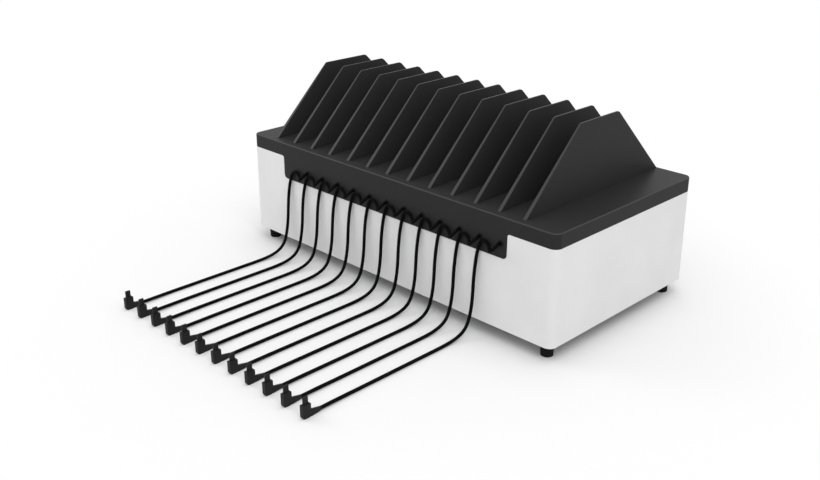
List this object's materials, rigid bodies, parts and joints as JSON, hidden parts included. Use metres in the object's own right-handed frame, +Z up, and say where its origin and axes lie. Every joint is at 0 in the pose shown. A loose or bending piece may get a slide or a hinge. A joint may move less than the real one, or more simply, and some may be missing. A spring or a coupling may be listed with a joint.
{
  "type": "device charging station",
  "caption": "Long white housing on four feet with a charcoal cover, a row of slanted upright dividers, and captive charging cords with right-angle plugs looped out of the front.",
  "frame": {"origin": "on the table under the middle of the housing", "axes": "+X right and along the row of bays, +Y from the cord side to the back, +Z up"},
  "size_m": [0.556, 0.5646, 0.2565],
  "materials": {
    "white_shell": "smooth satin white",
    "bottom_plate": "fine-grained grey",
    "cover": "fine-grained charcoal",
    "divider": "fine-grained charcoal",
    "cord": "smooth black jacket",
    "plug": "moulded black",
    "bushing": "moulded black",
    "foot": "matt black",
    "screw": "zinc plated",
    "supply": "folded sheet",
    "board": "solder mask",
    "socket": "natural nylon",
    "lead_red": "PVC",
    "lead_brown": "PVC",
    "fitting": "moulded black",
    "contact": "tinned brass"
  },
  "bodies": {
    "station": {"housing": "white_shell", "bottom_plate": "bottom_plate", "top_cover": "cover", "divider_1": "divider", "divider_2": "divider", "divider_3": "divider", "divider_4": "divider", "divider_5": "divider", "divider_6": "divider", "divider_7": "divider", "divider_8": "divider", "divider_9": "divider", "divider_10": "divider", "divider_11": "divider", "divider_12": "divider", "divider_13": "divider", "cord_1": "cord", "cord_2": "cord", "cord_3": "cord", "cord_4": "cord", "cord_5": "cord", "cord_6": "cord", "cord_7": "cord", "cord_8": "cord", "cord_9": "cord", "cord_10": "cord", "cord_11": "cord", "cord_12": "cord", "plug_1": "plug", "plug_2": "plug", "plug_3": "plug", "plug_4": "plug", "plug_5": "plug", "plug_6": "plug", "plug_7": "plug", "plug_8": "plug", "plug_9": "plug", "plug_10": "plug", "plug_11": "plug", "plug_12": "plug", "cord_bushings": "bushing", "foot_front_left": "foot", "foot_front_right": "foot", "foot_back_left": "foot", "foot_back_right": "foot", "foot_screws": "screw", "bottom_plate_screws": "screw", "cover_screws": "screw", "power_supply": "supply", "power_supply_screws": "screw", "charging_board": "board", "board_screws": "screw", "output_sockets": "socket", "output_leads": "cord", "supply_lead": "lead_red", "mains_leads": "lead_brown", "mains_inlet": "fitting", "inlet_pins": "contact", "switch_bezel": "fitting"},
    "rocker": {"switch_rocker": "fitting"}
  },
  "joints": [
    {"name": "power_switch", "type": "hinge", "parent": "station", "child": "rocker", "pos_m": [0.168, 0.14224, 0.062], "axis": [1, 0, 0], "range_deg": [-18, 0]}
  ]
}
